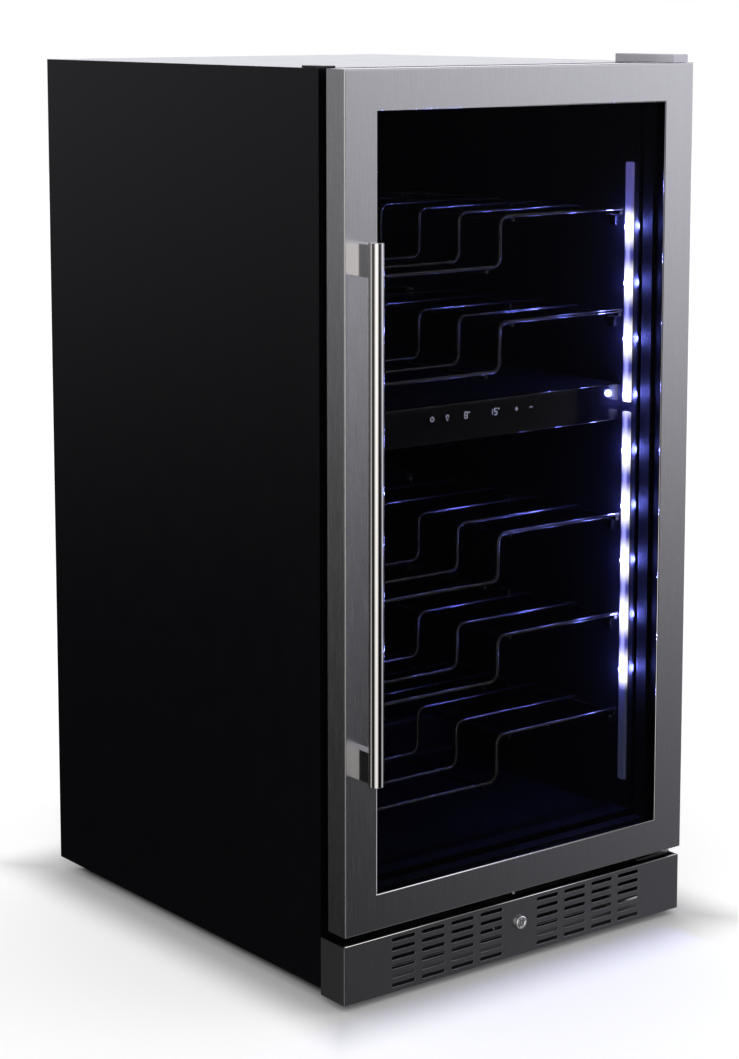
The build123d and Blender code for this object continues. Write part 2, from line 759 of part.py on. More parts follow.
# ---- kick plate and lock ------------------------------------------------------------------
slot_length = 39.5
slot_height = 6.0
slot_pitch_x = 50.0
slot_pitch_z = 12.3
slot_rows = 6
slot_mid_z = 48.5
kick_flange = 5.0
kick_floor = 45.0
kick_corner = 2.0
lock_body_radius = 7.8
with BuildPart() as kick_plate:
    block((-half, half), (kick_front, cabinet_front - 0.2), (kick_low, kick_high))
    fillet(kick_plate.edges().filter_by(Axis.Z).group_by(Axis.Y)[0], kick_corner)
    block((-inside, inside), (kick_front + sheet, cabinet_front), (kick_low + sheet, kick_high - sheet),
          Mode.SUBTRACT)
    block((-inside, inside), (kick_front + kick_flange, cabinet_front), (kick_low + sheet, kick_high),
          Mode.SUBTRACT)
    block((-inside, inside), (kick_front + kick_floor, cabinet_front), (kick_low, kick_high), Mode.SUBTRACT)
    with BuildSketch(Plane.XZ.offset(-kick_front)) as slots:
        for side in (-1, 1):
            with Locations((side * 2.5 * slot_pitch_x, slot_mid_z)):
                with GridLocations(slot_pitch_x, slot_pitch_z, 4, slot_rows):
                    SlotOverall(slot_length, slot_height)
    extrude(to_extrude=slots.sketch, amount=-sheet, mode=Mode.SUBTRACT)
    round_y(0, lock_z, (kick_front, kick_front + sheet), lock_body_radius + 0.2, Mode.SUBTRACT)
write(kick_plate, "kick_plate")

lock_front = kick_front - 5.0
lock_flange_radius = 9.0
lock_flange_round = 1.6
lock_recess_radius = 6.6
lock_recess = 1.4
lock_back = cam_front - 0.3
with BuildPart() as lock_housing:
    round_y(0, lock_z, (lock_front, kick_front), lock_flange_radius)
    fillet(lock_housing.edges().group_by(Axis.Y)[0], lock_flange_round)
    round_y(0, lock_z, (lock_front, lock_front + lock_recess), lock_recess_radius, Mode.SUBTRACT)
    round_y(0, lock_z, (kick_front, lock_back), lock_body_radius)
    round_y(0, lock_z, (lock_front, lock_back), lock_bore_radius, Mode.SUBTRACT)
write(lock_housing, "lock_housing")

plug_front = lock_front + 0.6
keyway_half = (0.9, 3.6)
keyway_depth = 3.6
with BuildPart() as lock_plug:
    round_y(0, lock_z, (plug_front, cam_front), plug_radius)
    block((-keyway_half[0], keyway_half[0]), (plug_front, plug_front + keyway_depth),
          (lock_z - keyway_half[1], lock_z + keyway_half[1]), Mode.SUBTRACT)
write(lock_plug, "lock_plug")

cam_reach = 41.0
cam_width = 14.0
cam_overhang = 4.0
with BuildPart() as lock_cam:
    with BuildSketch(Plane.XZ.offset(-cam_front)) as cam:
        with Locations((cam_overhang - cam_reach / 2, lock_z)):
            SlotOverall(cam_reach + 2 * cam_overhang, cam_width)
    extrude(to_extrude=cam.sketch, amount=-cam_thick)
write(lock_cam, "lock_cam")

# ---- levelling feet -----------------------------------------------------------------------
pad_radius = 19.0
pad_height = 8.0
pad_edge = 1.5
nut_radius = 9.0
nut_top = pad_height + 6.0
stud_top = 42.0
for name, (x, y) in front_feet.items():
    with BuildPart() as foot:
        round_z(x, y, (0, pad_height), pad_radius)
        fillet(foot.edges().group_by(Axis.Z)[0], pad_edge)
        with BuildSketch(Plane.XY.offset(pad_height)) as hexagon:
            with Locations((x, y)):
                RegularPolygon(nut_radius, 6)
        extrude(to_extrude=hexagon.sketch, amount=nut_top - pad_height)
        round_z(x, y, (nut_top, stud_top), stud_radius)
    write(foot, name)

with BuildPart() as fixed_feet:
    for x, y in rear_feet:
        round_z(x, y, (0, cabinet_bottom), pad_radius)
    fillet(fixed_feet.edges().group_by(Axis.Z)[0], pad_edge)
write(fixed_feet, "rear_feet")

# ---- door ---------------------------------------------------------------------------------
bush_radius = 6.0
bush_length = 23.0
bush_fit = 0.1
door_z = (door_bottom, door_top)
opening_z = (opening_low, opening_high)
fold_z = (door_bottom + sheet, door_top - sheet)
edge_radius = 2.0
handle_holes = [(bar_x, bar_high - block_inset - block_height / 2),
                (bar_x, bar_low + block_inset + block_height / 2)]
shank_radius = 2.4

with BuildPart() as door_frame:
    block((-half, half), (door_front, steel_back), door_z)
    fillet(door_frame.faces().sort_by(Axis.Y)[0].edges(), edge_radius)
    block((-inside, inside), (door_front + sheet, steel_back), fold_z, Mode.SUBTRACT)
    window(opening_half + sheet, (opening_low - sheet, opening_high + sheet), opening_half, opening_z,
           (door_front + sheet, door_front + lip_depth))
    block((-opening_half, opening_half), (door_front, steel_back), opening_z, Mode.SUBTRACT)
    round_z(hinge_x, hinge_y, door_z, bush_radius + bush_fit, Mode.SUBTRACT)
    for x, z in handle_holes:
        round_y(x, z, (door_front, door_front + sheet), shank_radius + 0.2, Mode.SUBTRACT)
write(door_frame, "door_frame")

inner_inset = 6.0
inner_half = opening_half + sheet + 0.3
inner_z = (opening_low - sheet - 0.3, opening_high + sheet + 0.3)
glass_seat = 0.5
screw_pocket_radius = 6.0
screw_pocket_back = door_front + 12.0
bush_seats = [(door_bottom, door_bottom + bush_length + 1), (door_top - bush_length - 1, door_top)]
inner_glass_front = glass_front + glass_thick + glass_gap
with BuildPart() as inner_frame:
    window(inside, fold_z, inner_half, inner_z, (door_front + sheet, steel_back))
    window(half - inner_inset, (door_bottom + inner_inset, door_top - inner_inset), inner_half, inner_z,
           (steel_back, door_back))
    block((-glass_half - glass_seat, glass_half + glass_seat), (glass_front, inner_glass_front + glass_thick),
          (glass_low - glass_seat, glass_high + glass_seat), Mode.SUBTRACT)
    for z in bush_seats:
        round_z(hinge_x, hinge_y, z, bush_radius + bush_fit, Mode.SUBTRACT)
    for x, z in handle_holes:
        round_y(x, z, (door_front + sheet, screw_pocket_back), screw_pocket_radius, Mode.SUBTRACT)
write(inner_frame, "door_inner_frame")

for name, front in (("outer_glass", glass_front), ("inner_glass", inner_glass_front)):
    with BuildPart() as pane:
        block((-glass_half, glass_half), (front, front + glass_thick), (glass_low, glass_high))
    write(pane, name)

spacer_outer = 4.0
spacer_inner = 11.0
with BuildPart() as spacer:
    window(glass_half - spacer_outer, (glass_low + spacer_outer, glass_high - spacer_outer),
           glass_half - spacer_inner, (glass_low + spacer_inner, glass_high - spacer_inner),
           (glass_front + glass_thick, inner_glass_front))
write(spacer, "glass_spacer")

# magnetic gasket: base, narrow bellows and sealing face, each an outer and inner half width
gasket_rings = [
    (280.0, 262.0, (door_back, door_back + 2.6)),
    (276.0, 266.0, (door_back + 2.6, door_back + 5.2)),
    (279.5, 262.5, (door_back + 5.2, gasket_back)),
]
with BuildPart() as gasket:
    for outer, inner, y_span in gasket_rings:
        window(outer, (door_bottom + half - outer, door_top - half + outer),
               inner, (door_bottom + half - inner, door_top - half + inner), y_span)
write(gasket, "door_gasket")

bar_chamfer = 0.6
block_edge = 0.8
shank_length = 16.0
handle_screw_head = 4.8
with BuildPart() as handle_bar:
    round_z(bar_x, bar_y, (bar_low, bar_high), bar_radius)
    chamfer(handle_bar.edges().filter_by(GeomType.CIRCLE), bar_chamfer)
write(handle_bar, "handle_bar")

with BuildPart() as standoffs:
    for x, z in handle_holes:
        block((x - block_width / 2, x + block_width / 2), (bar_y, door_front),
              (z - block_height / 2, z + block_height / 2))
    fillet(standoffs.edges().filter_by(Axis.Y), block_edge)
    round_z(bar_x, bar_y, (bar_low, bar_high), bar_radius + 0.02, Mode.SUBTRACT)
    for x, z in handle_holes:
        round_y(x, z, (door_front - shank_length - 2, door_front), shank_radius + 0.05, Mode.SUBTRACT)
write(standoffs, "handle_standoffs")

with BuildPart() as handle_screws:
    for x, z in handle_holes:
        round_y(x, z, (door_front + sheet, door_front + sheet + 4), handle_screw_head)
        round_y(x, z, (door_front - shank_length, door_front + sheet), shank_radius)
write(handle_screws, "handle_screws")

bush_floor = 1.5
bush_bore = bush_length - bush_floor
with BuildPart() as bushes:
    round_z(hinge_x, hinge_y, (door_bottom, door_bottom + bush_length), bush_radius)
    round_z(hinge_x, hinge_y, (door_top - bush_length, door_top), bush_radius)
    for z in ((door_bottom, door_bottom + bush_bore), (door_top - bush_bore, door_top)):
        round_z(hinge_x, hinge_y, z, pin_radius + running_gap, Mode.SUBTRACT)
write(bushes, "hinge_bushes")

# pin under the door that the lock's cam turns up behind
strike_y = -311.0
strike_base_radius = 6.0
strike_base = 1.5
strike_pin_radius = 3.0
strike_low = door_bottom - 9.0
with BuildPart() as strike:
    round_z(0, strike_y, (door_bottom - strike_base, door_bottom), strike_base_radius)
    round_z(0, strike_y, (strike_low, door_bottom - strike_base), strike_pin_radius)
write(strike, "lock_strike")
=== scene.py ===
import json
import math
import bmesh
import bpy
from mathutils import Euler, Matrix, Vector


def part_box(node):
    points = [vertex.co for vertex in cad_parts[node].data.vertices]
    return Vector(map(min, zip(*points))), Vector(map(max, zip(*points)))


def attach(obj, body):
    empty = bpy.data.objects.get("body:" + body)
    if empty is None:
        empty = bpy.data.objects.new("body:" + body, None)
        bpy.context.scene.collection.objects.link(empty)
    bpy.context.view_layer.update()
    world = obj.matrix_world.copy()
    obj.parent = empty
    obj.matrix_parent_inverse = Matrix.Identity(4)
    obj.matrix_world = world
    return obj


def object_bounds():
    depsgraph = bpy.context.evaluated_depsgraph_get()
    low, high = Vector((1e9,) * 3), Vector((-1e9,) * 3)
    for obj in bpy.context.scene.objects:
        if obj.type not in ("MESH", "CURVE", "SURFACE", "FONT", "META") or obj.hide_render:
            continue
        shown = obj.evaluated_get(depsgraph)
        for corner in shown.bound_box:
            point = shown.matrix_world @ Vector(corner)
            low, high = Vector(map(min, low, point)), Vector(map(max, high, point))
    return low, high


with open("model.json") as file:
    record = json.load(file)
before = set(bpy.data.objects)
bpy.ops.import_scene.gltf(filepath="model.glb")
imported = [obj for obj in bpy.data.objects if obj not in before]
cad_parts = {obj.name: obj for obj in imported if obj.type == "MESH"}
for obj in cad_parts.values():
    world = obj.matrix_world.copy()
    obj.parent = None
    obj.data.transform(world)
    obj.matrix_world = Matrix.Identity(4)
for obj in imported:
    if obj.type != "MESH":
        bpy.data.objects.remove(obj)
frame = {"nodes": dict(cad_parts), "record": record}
cad_low, cad_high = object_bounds()
materials = {}
MM = 0.001

# ---- camera, in metres and degrees --------------------------------------------------------
CAMERA_PLACE = (-2.1777, -2.8130, 1.2826)
CAMERA_YAW = 37.676
CAMERA_PITCH = -7.967
CAMERA_LENS = 86.56
CAMERA_SENSOR = 36.0
CAMERA_SHIFT = -0.16
CAMERA_REACH = 50

# ---- studio -------------------------------------------------------------------------------
WARM = (1.03, 1.0, 0.97)
COOL = (0.97, 0.97, 1.04)
# brightness and tint of the studio walls round the compass, in degrees from +X towards +Y
WALLS = [(-180, 0.14, WARM), (-140, 0.25, WARM), (-106, 0.22, WARM), (-96, 0.06, COOL), (-66, 0.08, COOL),
         (-58, 0.72, COOL), (-45, 0.84, COOL), (-12, 0.60, COOL), (12, 0.40, COOL), (28, 0.85, COOL),
         (52, 0.86, COOL), (85, 0.66, COOL), (104, 0.36, COOL), (128, 0.29, COOL), (166, 0.10, WARM)]
# tall softboxes: half their brightness at each compass angle
SOFTBOXES = [(-164, 0.0, WARM), (-151, 0.32, WARM), (-142, 0.75, WARM), (-116, 0.80, WARM),
             (-105, 0.25, WARM), (-96, 0.0, COOL), (-50, 0.0, COOL), (-41, 0.40, COOL), (-24, 0.40, COOL),
             (-13, 0.0, COOL), (22, 0.0, COOL), (34, 0.16, COOL), (76, 0.16, COOL), (92, 0.0, COOL),
             (134, 0.0, WARM), (142, 0.32, WARM), (155, 0.34, WARM), (166, 0.0, WARM)]
# start and end slope of the light's direction, from -1 straight down to 1 straight up, and the strength
# at each
WALLS_RISE = (-0.25, 0.10, 0.04, 1.35)
SOFTBOXES_RISE = (-0.85, -0.08, 0.0, 2.0)
# even tones overhead and underfoot, and the slopes between which they take over
ZENITH_TONE = (0.62, 0.62, 0.62)
ZENITH_SLOPES = (0.35, 0.8)
FLOOR_TONE = (0.4, 0.4, 0.4)
FLOOR_SLOPES = (-0.42, -0.75)

# ---- floor: painted shadow under the cabinet, pale and faintly glowing beyond --------------
FLOOR_REACH = 14.0
FLOOR_ROUGHNESS = 0.8
FLOOR_GLOSS = 0.1
# start and end distance, where 1 is the edge of the cabinet's footprint, and the value at each
# painted shadow: the floor's colour is dark over the cabinet's footprint and pale beyond, and its glow is
# off there
FLOOR_PALE_AND_PAINTED_SHADOW = (0.90, 0.96, 0.01, 0.84)
FLOOR_GLOW_OUTSIDE_PAINTED_SHADOW = (0.98, 1.35, 0.0, 0.5)

# ---- row of lamps in the light strip ------------------------------------------------------
LAMP_TOP = 0.978
LAMP_PITCH = 0.0785
LAMP_COUNT = 9
LAMP_LOW = LAMP_TOP - LAMP_PITCH * (LAMP_COUNT - 1)
STRIP_Y = -0.256
LAMP_POWER = 0.7
LAMP_LIGHT = (0.17, 0.20, 1.0)
LAMP_LIGHT_RADIUS = 0.005
LAMP_STAND_OFF = 0.006
DOME_RADIUS = 0.0058
DOME_HEIGHT = 0.0042
DOME_TIP_RADIUS = 0.00002
DOME_RINGS = 7
DOME_SIDES = 24

# ---- door opening and kick plate, as in the CAD -------------------------------------------
OPENING_HALF = 0.2475
OPENING_LOW = 0.147
OPENING_HIGH = 1.153
LIP_RADIUS = 0.0014
SLOT_LENGTH = 0.0395
SLOT_HEIGHT = 0.006
SLOT_PITCH_X = 0.05
SLOT_PITCH_Z = 0.0123
SLOT_COLUMNS = 4
SLOT_ROWS = 6
SLOT_MIDDLE = 0.0485
SLOT_SIDES = 20
SLOT_RIM_RADIUS = 0.0006
KICK_LIP_RADIUS = 0.0009
KICK_LIP_INSET = 0.002

# ---- signs of the control panel, in millimetres -------------------------------------------
PRINT_DEPTH = 0.15
PRINT_STAND_OFF = 0.05
STROKE_WIDTH = 0.8
POWER_X = -88
LIGHT_X = -62
UPPER_DIGIT_X = -30
LOWER_TENS_X = 14
LOWER_UNITS_X = 22
PLUS_X = 59
MINUS_X = 85
SIGN_HALF = 3
DIGIT_HALF_WIDTH = 2.2
DIGIT_HALF_HEIGHT = 4.2
DIGIT_GAP = 0.4
DIGIT_WIDTH = 0.9


# ---- camera and light ---------------------------------------------------------------------
def add_to_scene(name, data):
    """New object of some data, linked to the scene."""
    thing = bpy.data.objects.new(name, data)
    bpy.context.scene.collection.objects.link(thing)
    return thing


def make_camera():
    """Seen from the front left, a little above the top, with long-lens perspective."""
    data = bpy.data.cameras.new("camera")
    data.lens = CAMERA_LENS
    data.sensor_width = CAMERA_SENSOR
    data.shift_y = CAMERA_SHIFT
    data.clip_end = CAMERA_REACH
    camera = add_to_scene("camera", data)
    camera.location = CAMERA_PLACE
    camera.rotation_euler = Euler((math.radians(90 + CAMERA_PITCH), 0, math.radians(-CAMERA_YAW)))
    bpy.context.scene.camera = camera


# ---- node helpers: a value is a number, a tuple or another node's output -------------------
def feed(tree, socket, value):
    """Link a node's output to a socket, or set the socket's own value."""
    if isinstance(value, bpy.types.NodeSocket):
        tree.links.new(value, socket)
    else:
        socket.default_value = value


def maths(tree, operation, *values):
    """Result of a math node."""
    node = tree.nodes.new("ShaderNodeMath")
    node.operation = operation
    for socket, value in zip(node.inputs, values):
        feed(tree, socket, value)
    return node.outputs["Value"]


def vector_maths(tree, operation, first, second):
    """Vector scaled by a number, or the sum of two vectors."""
    node = tree.nodes.new("ShaderNodeVectorMath")
    node.operation = operation
    feed(tree, node.inputs[0], first)
    feed(tree, node.inputs["Scale" if operation == "SCALE" else 1], second)
    return node.outputs["Vector"]


def remap(tree, source, start, end, low=0.0, high=1.0, kind="SMOOTHSTEP"):
    """Source remapped from start..end to low..high."""
    span = tree.nodes.new("ShaderNodeMapRange")
    span.interpolation_type = kind
    feed(tree, span.inputs["Value"], source)
    feed(tree, span.inputs["From Min"], start)
    feed(tree, span.inputs["From Max"], end)
    feed(tree, span.inputs["To Min"], low)
    feed(tree, span.inputs["To Max"], high)
    return span.outputs["Result"]


def mixed(tree, factor, first, second):
    """First colour turning to the second as the factor rises."""
    mix = tree.nodes.new("ShaderNodeMix")
    mix.data_type = "RGBA"
    feed(tree, mix.inputs["Factor"], factor)
    sockets = [socket for socket in mix.inputs if socket.type == "RGBA"]
    for socket, value in zip(sockets, (first, second)):
        feed(tree, socket, (*value, 1) if isinstance(value, tuple) else value)
    return next(socket for socket in mix.outputs if socket.type == "RGBA")


def compass_ramp(tree, source, stops):
    """Colour by compass angle, from (degrees, brightness, tint) stops."""
    node = tree.nodes.new("ShaderNodeValToRGB")
    elements = node.color_ramp.elements
    while len(elements) > 1:
        elements.remove(elements[-1])
    for index, (degrees, brightness, tint) in enumerate(stops):
        place = (degrees + 180) / 360
        stop = elements[0] if index == 0 else elements.new(place)
        stop.position = place
        stop.color = (*(brightness * part for part in tint), 1)
    feed(tree, node.inputs["Fac"], source)
    return node.outputs["Color"]


def axes(tree, coordinates):
    """Separate X, Y and Z of one kind of texture coordinates."""
    texture = tree.nodes.new("ShaderNodeTexCoord")
    split = tree.nodes.new("ShaderNodeSeparateXYZ")
    tree.links.new(texture.outputs[coordinates], split.inputs["Vector"])
    return split.outputs["X"], split.outputs["Y"], split.outputs["Z"]


def noise(tree, scale, stretch=(1, 1, 1), detail=3.0, seed=0.0):
    """Noise over object coordinates, in metres, squeezed along each axis by stretch."""
    coordinates = tree.nodes.new("ShaderNodeTexCoord")
    mapping = tree.nodes.new("ShaderNodeMapping")
    mapping.inputs["Scale"].default_value = stretch
    mapping.inputs["Location"].default_value = (seed, seed * 1.7, seed * 0.6)
    texture = tree.nodes.new("ShaderNodeTexNoise")
    texture.inputs["Scale"].default_value = scale
    texture.inputs["Detail"].default_value = detail
    tree.links.new(coordinates.outputs["Object"], mapping.inputs["Vector"])
    tree.links.new(mapping.outputs["Vector"], texture.inputs["Vector"])
    return texture.outputs["Fac"]


def spread(tree, source, low, high, start=0.3, end=0.7):
    """Noise, which stays mostly between start and end, remapped to a range."""
    return remap(tree, source, start, end, low, high, kind="LINEAR")


# ---- studio and floor ---------------------------------------------------------------------
def studio_light(tree):
    """Light by direction: walls and softboxes round the compass, even tones above and below."""
    x, y, slope = axes(tree, "Generated")
    compass = remap(tree, maths(tree, "ARCTAN2", y, x), -math.pi, math.pi, kind="LINEAR")
    walls = vector_maths(tree, "SCALE", compass_ramp(tree, compass, WALLS), remap(tree, slope, *WALLS_RISE))
    boxes = vector_maths(tree, "SCALE", compass_ramp(tree, compass, SOFTBOXES),
                         remap(tree, slope, *SOFTBOXES_RISE))
    around = vector_maths(tree, "ADD", walls, boxes)
    lit = mixed(tree, remap(tree, slope, *ZENITH_SLOPES), around, ZENITH_TONE)
    return mixed(tree, remap(tree, slope, *FLOOR_SLOPES), lit, FLOOR_TONE)


def make_world():
    """White backdrop for the camera; everything else sees the studio light."""
    world = bpy.data.worlds.new("studio")
    bpy.context.scene.world = world
    world.use_nodes = True
    tree = world.node_tree
    soft = tree.nodes["Background"]
    tree.links.new(studio_light(tree), soft.inputs["Color"])
    backdrop = tree.nodes.new("ShaderNodeBackground")
    backdrop.inputs["Color"].default_value = (1, 1, 1, 1)
    path = tree.nodes.new("ShaderNodeLightPath")
    chosen = tree.nodes.new("ShaderNodeMixShader")
    tree.links.new(path.outputs["Is Camera Ray"], chosen.inputs[0])
    tree.links.new(soft.outputs["Background"], chosen.inputs[1])
    tree.links.new(backdrop.outputs["Background"], chosen.inputs[2])
    tree.links.new(chosen.outputs["Shader"], tree.nodes["World Output"].inputs["Surface"])
    bpy.context.scene.view_settings.view_transform = "Standard"


def footprint_distance(tree):
    """How far out a floor point is from the cabinet's middle: 1 on the edge of its footprint."""
    kick_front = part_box("kick_plate")[0].y
    half_depth = (cad_high.y - kick_front) / 2
    middle = (cad_high.y + kick_front) / 2
    x, y, _ = axes(tree, "Object")
    sideways = maths(tree, "MULTIPLY_ADD", x, 1 / cad_high.x, 0)
    lengthways = maths(tree, "MULTIPLY_ADD", y, 1 / half_depth, -middle / half_depth)
    return maths(tree, "MAXIMUM", maths(tree, "ABSOLUTE", sideways), maths(tree, "ABSOLUTE", lengthways))


def make_floor():
    """Pale floor with a painted dark shadow over the cabinet's footprint; it also takes the soft shadow and
    isn't mirrored in the object.
    """
    mesh = bpy.data.meshes.new("floor")
    corners = [(-1, -1), (1, -1), (1, 1), (-1, 1)]
    mesh.from_pydata([(x * FLOOR_REACH, y * FLOOR_REACH, 0) for x, y in corners], [], [(0, 1, 2, 3)])
    floor = add_to_scene("floor", mesh)
    floor.visible_glossy = False
    floor.visible_diffuse = False
    pale = new_material("floor_pale_with_painted_shadow", (1, 1, 1), FLOOR_ROUGHNESS, Specular_IOR_Level=FLOOR_GLOSS,
                        Emission_Color=(1, 1, 1, 1))
    tree = pale.node_tree
    away = footprint_distance(tree)
    # painted shadow: dark colour and no glow over the cabinet's footprint
    to_socket(pale, remap(tree, away, *FLOOR_GLOW_OUTSIDE_PAINTED_SHADOW), "Emission Strength")
    to_socket(pale, remap(tree, away, *FLOOR_PALE_AND_PAINTED_SHADOW), "Base Color")
    mesh.materials.append(pale)


# ---- kinds of material --------------------------------------------------------------------
def new_material(name, colour, roughness, metallic=0.0, **sockets):
    """Principled material; the extra sockets are set by their names with spaces as underscores."""
    material = bpy.data.materials.new(name)
    material.use_nodes = True
    shader = material.node_tree.nodes["Principled BSDF"]
    shader.inputs["Base Color"].default_value = (*colour, 1)
    shader.inputs["Roughness"].default_value = roughness
    shader.inputs["Metallic"].default_value = metallic
    for socket, value in sockets.items():
        shader.inputs[socket.replace("_", " ")].default_value = value
    materials[name] = material
    return material


def to_socket(material, source, socket):
    """Link a node's output to a socket of the material's shader."""
    tree = material.node_tree
    tree.links.new(source, tree.nodes["Principled BSDF"].inputs[socket])


def bump(material, source, depth, strength=1.0):
    """Relief of a depth in metres, from a noise."""
    tree = material.node_tree
    bumps = tree.nodes.new("ShaderNodeBump")
    bumps.inputs["Distance"].default_value = depth
    bumps.inputs["Strength"].default_value = strength
    tree.links.new(source, bumps.inputs["Height"])
    to_socket(material, bumps.outputs["Normal"], "Normal")


def moulded(name, colour, roughness, grain=900, depth=0.00004, **sockets):
    """Moulded plastic or rubber: slight tone changes and a fine texture."""
    material = new_material(name, colour, roughness, **sockets)
    tree = material.node_tree
    light = tuple(min(1.0, part * 1.35 + 0.002) for part in colour)
    to_socket(material, mixed(tree, noise(tree, scale=7, seed=len(name)), colour, light), "Base Color")
    gloss = spread(tree, noise(tree, scale=45), roughness - 0.06, roughness + 0.06)
    to_socket(material, gloss, "Roughness")
    bump(material, noise(tree, scale=grain, detail=2), depth)


def enamel(name, colour, roughness, **sockets):
    """Sprayed paint: faint orange peel and slightly uneven gloss."""
    material = new_material(name, colour, roughness, **sockets)
    tree = material.node_tree
    light = tuple(min(1.0, part * 1.1 + 0.0002) for part in colour)
    to_socket(material, mixed(tree, noise(tree, scale=2.2, seed=3), colour, light), "Base Color")
    gloss = spread(tree, noise(tree, scale=30), roughness - 0.015, roughness + 0.02)
    to_socket(material, gloss, "Roughness")
    bump(material, noise(tree, scale=320, detail=2), depth=0.000004)


def brushed(name, dark, light, roughness, painted_floor_shade=None, grain=(1, 1, 0.012), scale=1500, **sockets):
    """Brushed metal with its grain along Z; a tone near the floor, if given, is painted shade towards the
    floor.
    """
    material = new_material(name, light, roughness, metallic=1.0, **sockets)
    tree = material.node_tree
    fine = noise(tree, scale, stretch=grain, detail=4)
    broad = noise(tree, scale / 20, stretch=grain, detail=2, seed=5)
    streaks = mixed(tree, spread(tree, fine, low=0, high=1, start=0.2, end=0.8), dark, light)
    tone = mixed(tree, spread(tree, broad, low=0, high=0.16), streaks, dark)
    if painted_floor_shade:
        # painted shade: the steel darkens towards the floor, standing in for the dark floor mirrored in it
        height = axes(tree, "Object")[2]
        tone = mixed(tree, remap(tree, height, start=-0.05, end=1.0), painted_floor_shade, tone)
    to_socket(material, tone, "Base Color")
    to_socket(material, spread(tree, fine, roughness - 0.03, roughness + 0.04), "Roughness")
    bump(material, fine, depth=0.00001, strength=0.35)


def metal(name, colour, roughness, scale=120):
    """Plain machined, plated or drawn metal with faint blotches."""
    material = new_material(name, colour, roughness, metallic=1.0)
    tree = material.node_tree
    dark = tuple(part * 0.82 for part in colour)
    to_socket(material, mixed(tree, noise(tree, scale / 3, seed=2), dark, colour), "Base Color")
    gloss = spread(tree, noise(tree, scale), roughness - 0.05, roughness + 0.06)
    to_socket(material, gloss, "Roughness")
    bump(material, noise(tree, scale * 8), depth=0.00001)


def tinted_glass(name, colour, alpha):
    """Dark clear glass with the faintest waviness."""
    material = new_material(name, colour, roughness=0.02, IOR=1.5, Alpha=alpha, Specular_IOR_Level=0.03)
    bump(material, noise(material.node_tree, scale=2.0, detail=1), depth=0.00002)


def glowing(name, colour, strength):
    """Lit plastic: its brightness falls slightly unevenly over the surface."""
    material = new_material(name, (0.6, 0.6, 0.7), roughness=0.3, Emission_Strength=strength)
    tree = material.node_tree
    dim = tuple(part * 0.85 for part in colour)
    to_socket(material, mixed(tree, noise(tree, scale=60), dim, colour), "Emission Color")


def lit_strip(name, edge, middle, strength):
    """Lit diffuser: white beside each lamp, bluish between them, faint above and below the row."""
    white = (1.0, 1.0, 1.0)
    above = (0.05, 0.045, 0.16)
    below = (0.008, 0.010, 0.022)
    reach, fade = 0.034, 0.012
    edge_y, middle_y = 0.0062, 0.0012
    material = new_material(name, (0.08, 0.08, 0.14), roughness=0.3, Emission_Strength=strength)
    tree = material.node_tree
    _, y, height = axes(tree, "Object")
    steps = maths(tree, "MULTIPLY_ADD", height, 1 / LAMP_PITCH, -LAMP_TOP / LAMP_PITCH)
    near_lamp = remap(tree, maths(tree, "PINGPONG", steps, 0.5), start=0.47, end=0.05)
    off_middle = maths(tree, "ABSOLUTE", maths(tree, "ADD", y, -STRIP_Y))
    glow = mixed(tree, remap(tree, off_middle, edge_y, middle_y), edge, middle)
    glow = mixed(tree, near_lamp, glow, white)
    glow = mixed(tree, remap(tree, height, LAMP_LOW - reach, LAMP_LOW - fade), below, glow)
    glow = mixed(tree, remap(tree, height, LAMP_TOP + reach, LAMP_TOP + fade), above, glow)
    to_socket(material, glow, "Emission Color")


